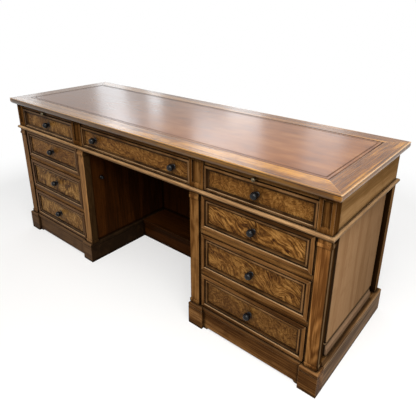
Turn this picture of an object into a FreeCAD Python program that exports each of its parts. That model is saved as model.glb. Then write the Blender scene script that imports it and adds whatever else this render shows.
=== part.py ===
import FreeCAD, Part
import math
import os
from types import SimpleNamespace

import Sketcher

# A kneehole pedestal desk: a leather-topped frieze with three drawers and two writing slides,
# carried by two pedestals of three drawers each. Millimetres. X runs along the width, Y along
# the depth with the front towards -Y, and Z is up. The origin is on the floor, under the middle.

SIZES = {
    # The whole desk
    "desk_width": 1829.0,
    "desk_depth": 610.0,
    "desk_height": 762.0,
    # Top: mitred border rails round a core board with a leather skin
    "top_thickness": 29.0,
    "top_overhang": 22.0,
    "border_width": 75.0,
    "leather_thickness": 2.0,
    "leather_sink": 0.5,
    "edge_lip": 4.0,
    "edge_lip_round": 2.0,
    "edge_step": 2.5,
    "edge_undercut": 10.0,
    "edge_bulge": 5.6,
    # Frieze: the case between the top and the waist moulding
    "frieze_height": 118.5,
    "frieze_floor_thickness": 9.0,
    "frieze_end_thickness": 20.0,
    "frieze_end_setback": 3.0,
    "frieze_back_thickness": 18.0,
    "partition_thickness": 20.0,
    "end_block_width": 52.0,
    "end_block_depth": 38.0,
    "mid_block_width": 66.0,
    "mid_block_depth": 20.0,
    "block_margin": 12.0,
    "block_sink": 5.0,
    "block_ledge_height": 10.0,
    "block_ledge_slope": 5.0,
    "frieze_rail_height": 19.0,
    "frieze_rail_depth": 20.0,
    "frieze_rail_setback": 6.0,
    # Waist moulding
    "waist_roll": 15.0,
    "waist_cove": 4.0,
    "waist_cove_bulge": 0.5,
    "waist_roll_set": 6.5,
    "waist_projection": 10.0,
    "waist_seat": 8.0,
    # Writing slides
    "slide_thickness": 15.0,
    "slide_top_gap": 2.0,
    "slide_side_gap": 4.0,
    "slide_depth": 420.0,
    "slide_setback": 4.0,
    "slide_guide_height": 14.0,
    "slide_guide_bearing": 15.0,
    "slide_guide_length": 440.0,
    "slide_knob_radius": 7.5,
    "slide_knob_length": 26.0,
    "slide_knob_neck_radius": 3.5,
    "slide_knob_shank_radius": 1.6,
    "slide_knob_shank_length": 16.0,
    # Pedestals
    "kneehole_width": 666.0,
    "pilaster_width": 44.0,
    "pilaster_depth": 34.0,
    "pilaster_capital": 15.0,
    "pilaster_neck": 12.0,
    "pilaster_base": 16.0,
    "pilaster_flare": 3.0,
    "pilaster_bevel": 2.5,
    "stile_width": 8.0,
    "rail_setback": 8.0,
    "rail_depth": 32.0,
    "rail_height": 22.0,
    "inner_side_thickness": 18.0,
    "wall_sink": 26.0,
    "wall_thickness": 10.0,
    "raised_panel_margin": 46.0,
    "raised_panel_set": 7.5,
    "panel_base_height": 58.0,
    "panel_base_set": 3.5,
    "panel_base_face": 27.0,
    "panel_base_quirk": 6.0,
    "panel_base_quirk_depth": 7.0,
    "panel_base_cove_bulge": 3.0,
    "pedestal_floor_thickness": 18.0,
    "case_lift": 8.0,
    # Plinth
    "plinth_height": 102.0,
    "plinth_projection": 13.0,
    "plinth_thickness": 15.0,
    "plinth_round": 6.0,
    "plinth_groove_depth": 2.0,
    "plinth_groove_width": 3.0,
    "plinth_groove_drop": 16.0,
    "foot_block_width": 70.0,
    "foot_block_margin": 3.0,
    "front_plinth_projection": 5.0,
    "front_plinth_face_set": 5.0,
    "front_plinth_cap": 28.0,
    "front_plinth_bead": 14.0,
    "front_plinth_quirk": 1.5,
    "front_plinth_cove_bulge": 2.0,
    "front_plinth_lift": 8.0,
    "front_plinth_bracket": 14.0,
    # Kneehole back and footrest
    "modesty_thickness": 18.0,
    "modesty_setback": 43.0,
    "footrest_depth": 167.0,
    "footrest_board": 18.0,
    "footrest_nosing": 6.0,
    # Drawers
    "drawer_gap": 1.5,
    "runner_clearance": 0.3,
    "guide_clearance": 0.5,
    "upper_front_height": 138.0,
    "middle_front_extra": 7.0,
    "pedestal_panel_setback": 10.0,
    "frieze_panel_setback": 12.0,
    "front_thickness": 20.0,
    "box_inset": 10.0,
    "box_drop": 16.0,
    "box_side_thickness": 12.0,
    "box_bottom_thickness": 6.0,
    "box_bottom_lift": 8.0,
    "box_back_clearance": 15.0,
    "runner_height": 20.0,
    "guide_height": 18.0,
    "drawer_over_slide_gap": 5.0,
    # Pedestal drawer moulding: a flat outer strip, a quirk and a bead
    "strip_width": 15.0,
    "strip_height": 8.0,
    "strip_round": 2.0,
    "strip_inner_round": 4.0,
    "quirk_width": 3.5,
    "quirk_height": 2.0,
    "bead_width": 11.5,
    "bead_bulge": 3.6,
    # Frieze drawer moulding: one heavier strip with a cove
    "frieze_strip_width": 9.0,
    "frieze_strip_height": 10.0,
    "frieze_strip_round": 3.0,
    "frieze_cove_width": 8.0,
    "frieze_cove_drop": 2.0,
    "frieze_cove_bulge": 1.2,
    "frieze_cove_edge": 2.0,
    # Drawer knobs
    "knob_radius": 14.0,
    "knob_length": 32.0,
    "knob_neck_radius": 5.0,
    "knob_foot_radius": 9.5,
    "knob_foot_length": 3.0,
    "knob_socket_radius": 2.3,
    "knob_socket_depth": 12.0,
    "centre_knob_spacing": 484.0,
    "screw_radius": 2.1,
    "screw_bite": 10.0,
    "screw_head_radius": 4.5,
    "screw_head_length": 2.5,
    "knob_hole_clearance": 0.4,
    # How far a cutting outline runs past the piece that it trims
    "trim": 5.0,
}

doc = FreeCAD.newDocument("PedestalDesk")
sheet = doc.addObject("Spreadsheet::Sheet", "Sizes")
for row, (alias, number) in enumerate(SIZES.items(), start=1):
    sheet.set(f"A{row}", alias)
    sheet.set(f"B{row}", str(number))
    sheet.setAlias(f"B{row}", alias)
doc.recompute()


class Size:
    """A length, kept both as a formula over the sheet's cells and as its value."""

    def __init__(self, text, value):
        self.text = text
        self.value = value

    def __add__(self, other):
        other = as_size(other)
        return Size(f"({self.text} + {other.text})", self.value + other.value)

    def __sub__(self, other):
        other = as_size(other)
        return Size(f"({self.text} - {other.text})", self.value - other.value)

    def __mul__(self, other):
        other = as_size(other)
        return Size(f"({self.text} * {other.text})", self.value * other.value)

    def __truediv__(self, other):
        other = as_size(other)
        return Size(f"({self.text} / {other.text})", self.value / other.value)

    def __neg__(self):
        return Size(f"(0 - {self.text})", -self.value)

    def root(self):
        return Size(f"sqrt({self.text})", math.sqrt(self.value))


def as_size(number):
    return number if isinstance(number, Size) else Size(str(number), float(number))


S = SimpleNamespace(**{alias: Size(f"Sizes.{alias}", number) for alias, number in SIZES.items()})
ZERO = as_size(0)


def bind(thing, prop, size):
    thing.setExpression(prop, as_size(size).text)


def move(thing, x, y, z, rotation=FreeCAD.Rotation()):
    thing.Placement = FreeCAD.Placement(FreeCAD.Vector(), rotation)
    for axis, size in zip("xyz", (x, y, z)):
        bind(thing, f"Placement.Base.{axis}", size)
    return thing


def middle(span):
    return (span[0] + span[1]) / 2


def on_side(side, low, high):
    """A span on the right of the desk, or its mirror image on the left."""
    return (low, high) if side > 0 else (-high, -low)


# Pieces and nodes

def board(name, x, y, z):
    """A plain board between three pairs of planes."""
    box = doc.addObject("Part::Box", name)
    for prop, span in (("Length", x), ("Width", y), ("Height", z)):
        bind(box, prop, span[1] - span[0])
    return move(box, x[0], y[0], z[0])


def rod(name, radius, length, x, y, z):
    """A round bar that runs from a point straight back, along +Y."""
    cylinder = doc.addObject("Part::Cylinder", name)
    bind(cylinder, "Radius", radius)
    bind(cylinder, "Height", length)
    return move(cylinder, x, y, z, FreeCAD.Rotation(FreeCAD.Vector(1, 0, 0), -90))


nodes = []


def node(label, pieces):
    """One named part of the desk, from one piece or from a group of separate pieces."""
    if len(pieces) == 1:
        whole = pieces[0]
    else:
        whole = doc.addObject("Part::Compound", label)
        whole.Links = pieces
    whole.Label = label
    nodes.append(whole)
    return whole


# Sketches: an outline is a list of corners, counter-clockwise. A corner is (x, y), reached by a
# straight line, or (x, y, bulge, way), reached by an arc of that rise, "out" or "in".

def new_body(name):
    return doc.addObject("PartDesign::Body", name)


def new_sketch(body, plane, name, lift=None):
    sketch = body.newObject("Sketcher::SketchObject", name)
    role = next(f for f in body.Origin.OriginFeatures if f.Role == plane)
    sketch.AttachmentSupport = [(role, "")]
    sketch.MapMode = "FlatFace"
    if lift is not None:
        bind(sketch, "AttachmentOffset.Base.z", lift)
    return sketch


def draw(sketch, outline):
    """Add a closed outline, with every corner tied to the sheet."""
    corners = [(as_size(c[0]), as_size(c[1])) for c in outline]
    count = len(outline)
    first = sketch.GeometryCount
    begins = []
    ends = []
    radii = []
    for i in range(count):
        a = corners[i]
        b = corners[(i + 1) % count]
        target = outline[(i + 1) % count]
        start = FreeCAD.Vector(a[0].value, a[1].value, 0)
        end = FreeCAD.Vector(b[0].value, b[1].value, 0)
        if len(target) == 2:
            sketch.addGeometry(Part.LineSegment(start, end), False)
            begins.append(1)
            ends.append(2)
            continue
        rise, way = target[2], target[3]
        run = b[0] - a[0]
        climb = b[1] - a[1]
        radius = ((run * run + climb * climb) / 4 + rise * rise) / (rise * 2)
        chord = end - start
        right = FreeCAD.Vector(chord.y, -chord.x, 0).normalize()
        sense = 1.0 if way == "out" else -1.0
        centre = (start + end) * 0.5 + right * (sense * (rise.value - radius.value))
        angles = [math.atan2(p.y - centre.y, p.x - centre.x) for p in (start, end)]
        low, high = angles if way == "out" else angles[::-1]
        circle = Part.Circle(centre, FreeCAD.Vector(0, 0, 1), radius.value)
        sketch.addGeometry(Part.ArcOfCircle(circle, low, high + (2 * math.pi if high < low else 0)), False)
        begins.append(1 if way == "out" else 2)
        ends.append(2 if way == "out" else 1)
        radii.append((first + i, radius))
    rules = []
    bound = []
    for i in range(count):
        after = (i + 1) % count
        rules.append(Sketcher.Constraint("Coincident", first + i, ends[i], first + after, begins[after]))
    for i, (x, y) in enumerate(corners):
        for kind, size in (("DistanceX", x), ("DistanceY", y)):
            bound.append((len(rules), size))
            rules.append(Sketcher.Constraint(kind, -1, 1, first + i, begins[i], size.value))
    for geometry, radius in radii:
        bound.append((len(rules), radius))
        rules.append(Sketcher.Constraint("Radius", geometry, radius.value))
    base = sketch.ConstraintCount
    sketch.addConstraint(rules)
    for index, size in bound:
        sketch.setExpression(f"Constraints[{base + index}]", size.text)


def rectangle(x, y):
    return [(x[0], y[0]), (x[1], y[0]), (x[1], y[1]), (x[0], y[1])]


def pad(body, sketch, length, name):
    feature = body.newObject("PartDesign::Pad", name)
    feature.Profile = sketch
    bind(feature, "Length", length)
    return feature


def pocket(body, sketch, name, depth=None, towards_normal=False):
    feature = body.newObject("PartDesign::Pocket", name)
    feature.Profile = sketch
    feature.Reversed = towards_normal
    if depth is None:
        feature.Type = "ThroughAll"
    else:
        bind(feature, "Length", depth)
    return feature


def strip(name, outline, depth, length, mitres):
    """A moulded strip along local X. Its section is drawn inwards along Y and up along Z, and
    an end with a mitre is cut at 45 degrees, so that the inner side is the shorter one."""
    body = new_body(name)
    section = new_sketch(body, "YZ_Plane", f"{name}_section")
    draw(section, outline)
    pad(body, section, length, f"{name}_run")
    corners = [
        [(-S.trim, -S.trim), (depth + S.trim, depth + S.trim), (-S.trim, depth + S.trim)],
        [(length + S.trim, -S.trim), (length + S.trim, depth + S.trim), (length - depth - S.trim, depth + S.trim)],
    ]
    waste = [corner for corner, wanted in zip(corners, mitres) if wanted]
    if waste:
        cut = new_sketch(body, "XY_Plane", f"{name}_mitres")
        for corner in waste:
            draw(cut, corner)
        pocket(body, cut, f"{name}_mitre_cut", towards_normal=True)
    return body


def turn(quarters):
    return FreeCAD.Rotation(FreeCAD.Vector(0, 0, 1), 90 * quarters)


def edges_at(shape, height):
    """Names of the edges that lie level at a height."""
    return [
        f"Edge{i}" for i, edge in enumerate(shape.Edges, start=1)
        if all(abs(v.Z - height) < 1e-6 for v in edge.Vertexes)
    ]


# Planes that the pieces share

half_width = S.desk_width / 2
half_depth = S.desk_depth / 2
side_face = half_width - S.top_overhang
back_face = half_depth - S.top_overhang
front_face = -back_face
top_under = S.desk_height - S.top_thickness
waist_top = top_under - S.frieze_height
pedestal_top = waist_top - S.frieze_floor_thickness
waist_bottom = waist_top - S.waist_roll - S.waist_cove
waist_back_x = side_face - S.waist_seat
waist_back_y = back_face - S.waist_seat

kneehole_edge = S.kneehole_width / 2
inner_pilaster = (kneehole_edge, kneehole_edge + S.pilaster_width)
outer_pilaster = (side_face - S.pilaster_width, side_face)
plinth_in = kneehole_edge - S.foot_block_margin
plinth_out = side_face + S.plinth_projection
plinth_end = back_face + S.plinth_projection
inner_side = (plinth_in + S.plinth_thickness, plinth_in + S.plinth_thickness + S.inner_side_thickness)
frame_face_x = plinth_out - S.plinth_thickness
frame_face_y = plinth_end - S.plinth_thickness
wall_x = (side_face - S.wall_sink - S.wall_thickness, side_face - S.wall_sink)
rear_post_y = (back_face - S.pilaster_depth, back_face)
wall_y = (rear_post_y[0], rear_post_y[0] + S.wall_thickness)
post_back = front_face + S.pilaster_depth
opening_x = (inner_pilaster[1] + S.stile_width, outer_pilaster[0] - S.stile_width)
rail_y = (front_face + S.rail_setback, front_face + S.rail_setback + S.rail_depth)


# Top

def make_top():
    lip_bottom = S.top_thickness - S.edge_lip
    edge = [
        (S.edge_undercut, ZERO),
        (S.border_width, ZERO),
        (S.border_width, S.top_thickness),
        (S.edge_lip_round, S.top_thickness),
        (ZERO, S.top_thickness - S.edge_lip_round, S.edge_lip_round * (1 - math.sqrt(0.5)), "out"),
        (ZERO, lip_bottom),
        (S.edge_step, lip_bottom),
    ]
    edge[0] = (S.edge_undercut, ZERO, S.edge_bulge, "out")
    rails = []
    for quarters, length, x, y in (
        (0, S.desk_width, -half_width, -half_depth),
        (1, S.desk_depth, half_width, -half_depth),
        (2, S.desk_width, half_width, half_depth),
        (3, S.desk_depth, -half_width, half_depth),
    ):
        rail = strip(f"border_rail_{quarters}", edge, S.border_width, length, (True, True))
        rails.append(move(rail, x, y, top_under, turn(quarters)))
    node("top_border", rails)
    inside_x = (-(half_width - S.border_width), half_width - S.border_width)
    inside_y = (-(half_depth - S.border_width), half_depth - S.border_width)
    leather_top = S.desk_height - S.leather_sink
    leather_under = leather_top - S.leather_thickness
    node("top_core", [board("core_board", inside_x, inside_y, (top_under, leather_under))])
    node("leather_inset", [board("leather_skin", inside_x, inside_y, (leather_under, leather_top))])


# Frieze case

partition_x = (
    kneehole_edge + S.mid_block_width / 2 - S.partition_thickness / 2,
    kneehole_edge + S.mid_block_width / 2 + S.partition_thickness / 2,
)
mid_block_x = (kneehole_edge, kneehole_edge + S.mid_block_width)
end_block_x = (side_face - S.end_block_width, side_face)
frieze_z = (waist_top, top_under)
frieze_end_x = (side_face - S.frieze_end_setback - S.frieze_end_thickness, side_face - S.frieze_end_setback)
frieze_back_y = (back_face - S.frieze_back_thickness, back_face)
mid_block_back = front_face + S.mid_block_depth
end_block_back = front_face + S.end_block_depth


def frieze_block(name, width, depth):
    """A block with a sunk panel in its face and a sloping ledge at the foot of the panel."""
    body = new_body(name)
    plan = new_sketch(body, "XY_Plane", f"{name}_plan")
    draw(plan, rectangle((ZERO, width), (ZERO, depth)))
    pad(body, plan, S.frieze_height, f"{name}_block")
    face = new_sketch(body, "XZ_Plane", f"{name}_panel")
    draw(face, rectangle((S.block_margin, width - S.block_margin),
                         (S.block_margin, S.frieze_height - S.block_margin)))
    pocket(body, face, f"{name}_sink", depth=S.block_sink)
    ledge = new_sketch(body, "YZ_Plane", f"{name}_ledge", lift=S.block_margin)
    foot = S.block_margin
    draw(ledge, [
        (ZERO, foot),
        (S.block_sink, foot),
        (S.block_sink, foot + S.block_ledge_height),
        (ZERO, foot + S.block_ledge_height - S.block_ledge_slope),
    ])
    pad(body, ledge, width - S.block_margin * 2, f"{name}_ledge_fill")
    return body


def make_frieze():
    blocks = []
    for side, word in ((-1, "left"), (1, "right")):
        for kind, span, depth in (("mid", mid_block_x, S.mid_block_depth), ("end", end_block_x, S.end_block_depth)):
            x = on_side(side, *span)
            block = frieze_block(f"{word}_{kind}_block", span[1] - span[0], depth)
            blocks.append(move(block, x[0], front_face, waist_top))
    node("frieze_blocks", blocks)

    ends = [
        board(f"{word}_frieze_end", on_side(side, *frieze_end_x), (end_block_back, back_face), frieze_z)
        for side, word in ((-1, "left"), (1, "right"))
    ]
    back = board("frieze_back", (-frieze_end_x[0], frieze_end_x[0]), frieze_back_y, frieze_z)
    node("frieze_case", ends + [back])

    floor = board("floor_board", (-waist_back_x, waist_back_x), (-waist_back_y, waist_back_y),
                  (pedestal_top, waist_top))
    node("frieze_floor", [floor])

    framing = [
        board(f"{word}_partition", on_side(side, *partition_x), (mid_block_back, frieze_back_y[0]), frieze_z)
        for side, word in ((-1, "left"), (1, "right"))
    ]
    rail_front = front_face + S.frieze_rail_setback
    framing.append(board("centre_top_rail", (-kneehole_edge, kneehole_edge),
                         (rail_front, rail_front + S.frieze_rail_depth),
                         (top_under - S.frieze_rail_height, top_under)))
    knee_x = (-inner_side[0], inner_side[0])
    knee_z = (waist_bottom, pedestal_top)
    framing.append(board("kneehole_front_rail", knee_x, (-waist_back_y, -waist_back_y + S.rail_depth), knee_z))
    framing.append(board("kneehole_back_rail", knee_x, (waist_back_y - S.rail_depth, waist_back_y), knee_z))
    node("frieze_framing", framing)


def make_waist():
    height = S.waist_roll + S.waist_cove
    depth = S.waist_projection + S.waist_seat
    section = [
        (S.waist_projection, ZERO, S.waist_cove_bulge, "in"),
        (depth, ZERO),
        (depth, height),
        (S.waist_roll_set, height),
        (S.waist_roll_set, S.waist_cove, S.waist_roll_set, "out"),
    ]
    x = side_face + S.waist_projection
    y = back_face + S.waist_projection
    strips = []
    for quarters, length, corner_x, corner_y in ((0, x * 2, -x, -y), (1, y * 2, x, -y), (2, x * 2, x, y), (3, y * 2, -x, y)):
        piece = strip(f"waist_strip_{quarters}", section, depth, length, (True, True))
        strips.append(move(piece, corner_x, corner_y, waist_bottom, turn(quarters)))
    node("waist_moulding", strips)


# Pedestals

def pilaster(name, free):
    """A square post with a bevelled base below and a bevelled capital under a short neck. On the
    drawers' side, the base and the capital stop in front of the stile. The other side is the free one."""
    body = new_body(name)
    height = waist_bottom - S.plinth_height
    capital = height - S.pilaster_neck - S.pilaster_capital
    low = -S.pilaster_flare
    high = S.pilaster_width + S.pilaster_flare
    notch = S.rail_setback
    if free < 0:
        rim = [(low, low), (high, low), (high, notch), (S.pilaster_width, notch),
               (S.pilaster_width, S.pilaster_depth), (low, S.pilaster_depth)]
    else:
        rim = [(low, low), (high, low), (high, S.pilaster_depth), (ZERO, S.pilaster_depth),
               (ZERO, notch), (low, notch)]
    foot = new_sketch(body, "XY_Plane", f"{name}_foot")
    draw(foot, rim)
    pad(body, foot, S.pilaster_base, f"{name}_base")
    head = new_sketch(body, "XY_Plane", f"{name}_head", lift=capital)
    draw(head, rim)
    shaft = new_sketch(body, "XY_Plane", f"{name}_shaft")
    draw(shaft, rectangle((ZERO, S.pilaster_width), (ZERO, S.pilaster_depth)))
    pad(body, shaft, height, f"{name}_post")
    last = pad(body, head, S.pilaster_capital, f"{name}_capital")
    doc.recompute()
    bevel = body.newObject("PartDesign::Chamfer", f"{name}_bevels")
    outer = S.pilaster_width.value + S.pilaster_flare.value
    levels = edges_at(last.Shape, S.pilaster_base.value)
    levels += edges_at(last.Shape, capital.value)
    levels += edges_at(last.Shape, (capital + S.pilaster_capital).value)

    def on_rim(edge_name):
        edge = last.Shape.getElement(edge_name)
        points = [v.Point for v in edge.Vertexes]
        left = all(abs(p.x + S.pilaster_flare.value) < 1e-6 for p in points)
        right = all(abs(p.x - outer) < 1e-6 for p in points)
        front = all(abs(p.y + S.pilaster_flare.value) < 1e-6 for p in points)
        return left or right or front

    bevel.Base = (last, [edge_name for edge_name in levels if on_rim(edge_name)])
    bind(bevel, "Size", S.pilaster_bevel)
    body.Tip = bevel
    return body


raised_y = (post_back + S.raised_panel_margin, rear_post_y[0] - S.raised_panel_margin)
raised_z = (S.plinth_height + S.panel_base_height, waist_bottom)


def panel_base(name, length, depth):
    """The moulded strip between the plinth and a raised panel."""
    return strip(name, [
        (ZERO, ZERO),
        (depth, ZERO),
        (depth, S.panel_base_height),
        (S.panel_base_quirk_depth, S.panel_base_height),
        (S.panel_base_quirk_depth, S.panel_base_height - S.panel_base_quirk),
        (ZERO, S.panel_base_face, S.panel_base_cove_bulge, "in"),
    ], depth, length, (False, False))


all_fronts = waist_bottom - S.plinth_height - S.rail_height * 2 - S.drawer_gap * 6
lower_front_height = (all_fronts - S.upper_front_height - S.middle_front_extra) / 2
middle_front_height = lower_front_height + S.middle_front_extra
drawer_fronts = {}
drawer_fronts["lower"] = (S.plinth_height + S.drawer_gap, S.plinth_height + S.drawer_gap + lower_front_height)
lower_rail = (drawer_fronts["lower"][1] + S.drawer_gap, drawer_fronts["lower"][1] + S.drawer_gap + S.rail_height)
drawer_fronts["middle"] = (lower_rail[1] + S.drawer_gap, lower_rail[1] + S.drawer_gap + middle_front_height)
upper_rail = (drawer_fronts["middle"][1] + S.drawer_gap, drawer_fronts["middle"][1] + S.drawer_gap + S.rail_height)
drawer_fronts["upper"] = (upper_rail[1] + S.drawer_gap, waist_bottom - S.drawer_gap)
opening_floor = {"lower": S.plinth_height, "middle": lower_rail[1], "upper": upper_rail[1]}
box_x = (opening_x[0] + S.drawer_gap + S.box_inset, opening_x[1] - S.drawer_gap - S.box_inset)


def make_pedestals():
    posts = []
    frames = []
    panels = []
    inner_sides = []
    boards = []
    rails = []
    runners = []
    for side, word in ((-1, "left"), (1, "right")):
        for kind, span in (("inner", inner_pilaster), ("outer", outer_pilaster)):
            x = on_side(side, *span)
            free = side if kind == "outer" else -side
            posts.append(move(pilaster(f"{word}_{kind}_pilaster", free), x[0], front_face, S.plinth_height))
            frames.append(board(f"{word}_{kind}_rear_post", x, rear_post_y, (S.plinth_height, waist_bottom)))

        end_y = (post_back, rear_post_y[0])
        back_x = on_side(side, inner_pilaster[1], outer_pilaster[0])
        low_z = (S.case_lift, S.plinth_height)
        frames.append(board(f"{word}_end_rail", on_side(side, wall_x[0], frame_face_x), end_y, low_z))
        frames.append(board(f"{word}_back_rail", back_x, (wall_y[0], frame_face_y), low_z))
        wall_z = (S.plinth_height, waist_bottom)
        panels.append(board(f"{word}_end_wall", on_side(side, *wall_x), end_y, wall_z))
        panels.append(board(f"{word}_back_wall", back_x, wall_y, wall_z))

        raised_x = on_side(side, inner_pilaster[1] + S.raised_panel_margin, outer_pilaster[0] - S.raised_panel_margin)
        panel_face = side_face - S.raised_panel_set
        panels.append(board(f"{word}_raised_end", on_side(side, wall_x[1], panel_face), raised_y, raised_z))
        panels.append(board(f"{word}_raised_back", raised_x, (wall_y[1], back_face - S.raised_panel_set), raised_z))
        base_x = side_face - S.panel_base_set
        base_y = back_face - S.panel_base_set
        end_base = panel_base(f"{word}_end_base", raised_y[1] - raised_y[0], base_x - wall_x[1])
        if side > 0:
            panels.append(move(end_base, base_x, raised_y[0], S.plinth_height, turn(1)))
        else:
            panels.append(move(end_base, -base_x, raised_y[1], S.plinth_height, turn(3)))
        back_base = panel_base(f"{word}_back_base", raised_x[1] - raised_x[0], base_y - wall_y[1])
        panels.append(move(back_base, raised_x[1], base_y, S.plinth_height, turn(2)))
        inner_sides.append(board(f"{word}_inner_side", on_side(side, *inner_side), end_y, (S.case_lift, waist_bottom)))

        inside = on_side(side, inner_side[1], wall_x[0])
        cover = on_side(side, inner_side[0], waist_back_x)
        boards.append(board(f"{word}_pedestal_top", cover, (-waist_back_y, waist_back_y), (waist_bottom, pedestal_top)))
        boards.append(board(f"{word}_pedestal_floor", inside, (rail_y[1], wall_y[0]),
                            (S.plinth_height - S.pedestal_floor_thickness, S.plinth_height)))

        for place, span in (("inner", (inner_pilaster[1], opening_x[0])), ("outer", (opening_x[1], outer_pilaster[0]))):
            rails.append(board(f"{word}_{place}_stile", on_side(side, *span), rail_y, (S.plinth_height, waist_bottom)))
        for place, z in (("lower", lower_rail), ("upper", upper_rail)):
            rails.append(board(f"{word}_{place}_rail", on_side(side, *opening_x), rail_y, z))

        run_y = (rail_y[1], wall_y[0])
        near = (inner_side[1], box_x[0])
        far = (box_x[1], wall_x[0])
        for level, floor in opening_floor.items():
            guide_z = (floor, floor + S.guide_height)
            near_guide = (near[0], near[1] - S.guide_clearance)
            far_guide = (far[0] + S.guide_clearance, far[1])
            runners.append(board(f"{word}_{level}_near_guide", on_side(side, *near_guide), run_y, guide_z))
            runners.append(board(f"{word}_{level}_far_guide", on_side(side, *far_guide), run_y, guide_z))
            if level == "lower":
                continue
            run_z = (floor - S.runner_height, floor)
            near_run = (near[0], near[1] + S.box_side_thickness)
            far_run = (far[0] - S.box_side_thickness, far[1])
            runners.append(board(f"{word}_{level}_near_runner", on_side(side, *near_run), run_y, run_z))
            runners.append(board(f"{word}_{level}_far_runner", on_side(side, *far_run), run_y, run_z))
    node("pilasters", posts)
    node("pedestal_frames", frames)
    node("pedestal_panels", panels)
    node("inner_sides", inner_sides)
    node("pedestal_boards", boards)
    node("drawer_rails", rails)
    node("drawer_runners", runners)


# Plinth

block_y = (front_face - S.plinth_projection, post_back)
inner_block = (plinth_in, plinth_in + S.foot_block_width)
outer_block = (plinth_out - S.foot_block_width, plinth_out)
groove_top = S.plinth_height - S.plinth_groove_drop


def foot_block(name):
    """A block under a pilaster, grooved below its cap and rounded on top."""
    body = new_body(name)
    deep = block_y[1] - block_y[0]
    footprint = new_sketch(body, "XY_Plane", f"{name}_plan")
    draw(footprint, rectangle((ZERO, S.foot_block_width), (ZERO, deep)))
    pad(body, footprint, S.plinth_height, f"{name}_block")
    groove = new_sketch(body, "XY_Plane", f"{name}_groove", lift=groove_top - S.plinth_groove_width)
    draw(groove, rectangle((-S.trim, S.foot_block_width + S.trim), (-S.trim, deep + S.trim)))
    draw(groove, rectangle((S.plinth_groove_depth, S.foot_block_width - S.plinth_groove_depth),
                           (S.plinth_groove_depth, deep - S.plinth_groove_depth)))
    cut = pocket(body, groove, f"{name}_groove_cut", depth=S.plinth_groove_width, towards_normal=True)
    doc.recompute()
    rounding = body.newObject("PartDesign::Fillet", f"{name}_round")
    rounding.Base = (cut, edges_at(cut.Shape, S.plinth_height.value))
    bind(rounding, "Radius", S.plinth_round)
    body.Tip = rounding
    return body


def front_plinth(name, length):
    """The set-back board between two foot blocks, with a moulded cap and a lifted lower edge."""
    height = S.plinth_height
    body = strip(name, [
        (S.front_plinth_face_set, ZERO),
        (S.plinth_thickness, ZERO),
        (S.plinth_thickness, height),
        (S.plinth_round, height),
        (ZERO, height - S.plinth_round, S.plinth_round * (1 - math.sqrt(0.5)), "out"),
        (ZERO, height - S.front_plinth_bead),
        (S.front_plinth_quirk, height - S.front_plinth_bead),
        (S.front_plinth_face_set, height - S.front_plinth_cap, S.front_plinth_cove_bulge, "in"),
    ], S.plinth_thickness, length, (False, False))
    arch = new_sketch(body, "XZ_Plane", f"{name}_arch")
    lift = S.front_plinth_lift
    reach = S.front_plinth_bracket
    draw(arch, [
        (reach, -S.trim),
        (length - reach, -S.trim),
        (length - reach, ZERO),
        (length - reach - lift, lift, lift * (1 - math.sqrt(0.5)), "in"),
        (reach + lift, lift),
        (reach, ZERO, lift * (1 - math.sqrt(0.5)), "in"),
    ])
    pocket(body, arch, f"{name}_arch_cut", depth=S.plinth_thickness + S.trim)
    return body


def make_plinth():
    height = S.plinth_height
    groove_low = groove_top - S.plinth_groove_width
    section = [
        (ZERO, ZERO),
        (S.plinth_thickness, ZERO),
        (S.plinth_thickness, height),
        (S.plinth_round, height),
        (ZERO, height - S.plinth_round, S.plinth_round * (1 - math.sqrt(0.5)), "out"),
        (ZERO, groove_top),
        (S.plinth_groove_depth, groove_top),
        (S.plinth_groove_depth, groove_low),
        (ZERO, groove_low),
    ]
    run = plinth_end - block_y[1]
    boards = []
    blocks = []
    for side, word in ((-1, "left"), (1, "right")):
        west, east = on_side(side, plinth_in, plinth_out)
        for quarters, length, x, y, mitres in (
            (1, run, east, block_y[1], (False, True)),
            (2, east - west, east, plinth_end, (True, True)),
            (3, run, west, plinth_end, (True, False)),
        ):
            piece = strip(f"{word}_plinth_{quarters}", section, S.plinth_thickness, length, mitres)
            boards.append(move(piece, x, y, ZERO, turn(quarters)))
        front_x = on_side(side, inner_block[1], outer_block[0])
        front = front_plinth(f"{word}_front_plinth", front_x[1] - front_x[0])
        boards.append(move(front, front_x[0], front_face - S.front_plinth_projection, ZERO))
        for kind, span in (("inner", inner_block), ("outer", outer_block)):
            x = on_side(side, *span)
            blocks.append(move(foot_block(f"{word}_{kind}_foot"), x[0], block_y[0], ZERO))
        rear_y = (rear_post_y[0], frame_face_y)
        rear_z = (ZERO, S.plinth_height)
        inner_rear = (inner_side[0], inner_pilaster[1])
        outer_rear = (outer_pilaster[0], frame_face_x)
        for kind, span in (("inner", inner_rear), ("outer", outer_rear)):
            blocks.append(board(f"{word}_{kind}_rear_foot", on_side(side, *span), rear_y, rear_z))
    node("plinth_boards", boards)
    node("foot_blocks", blocks)


# Kneehole back and footrest

def make_kneehole():
    back_y = (back_face - S.modesty_setback - S.modesty_thickness, back_face - S.modesty_setback)
    node("modesty_panel", [board("kneehole_back", (-inner_side[0], inner_side[0]), back_y, (S.plinth_height, pedestal_top))])
    rest_x = (-plinth_in, plinth_in)
    rest_front = back_y[0] - S.footrest_depth
    board_z = (ZERO, S.plinth_height - S.footrest_board)
    node("footrest", [
        board("footrest_front", rest_x, (rest_front, rest_front + S.footrest_board), board_z),
        board("footrest_back", rest_x, back_y, board_z),
        board("footrest_top", rest_x, (rest_front - S.footrest_nosing, back_y[1]), (board_z[1], S.plinth_height)),
    ])


# Drawers and slides

def turned(name, profile):
    """A turned piece: the profile is drawn as radius against distance in front of its seat."""
    body = new_body(name)
    half = new_sketch(body, "XY_Plane", f"{name}_profile")
    draw(half, profile)
    spin = body.newObject("PartDesign::Revolution", f"{name}_turning")
    spin.Profile = half
    spin.ReferenceAxis = (half, ["V_Axis"])
    spin.Angle = 360
    return body


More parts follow.
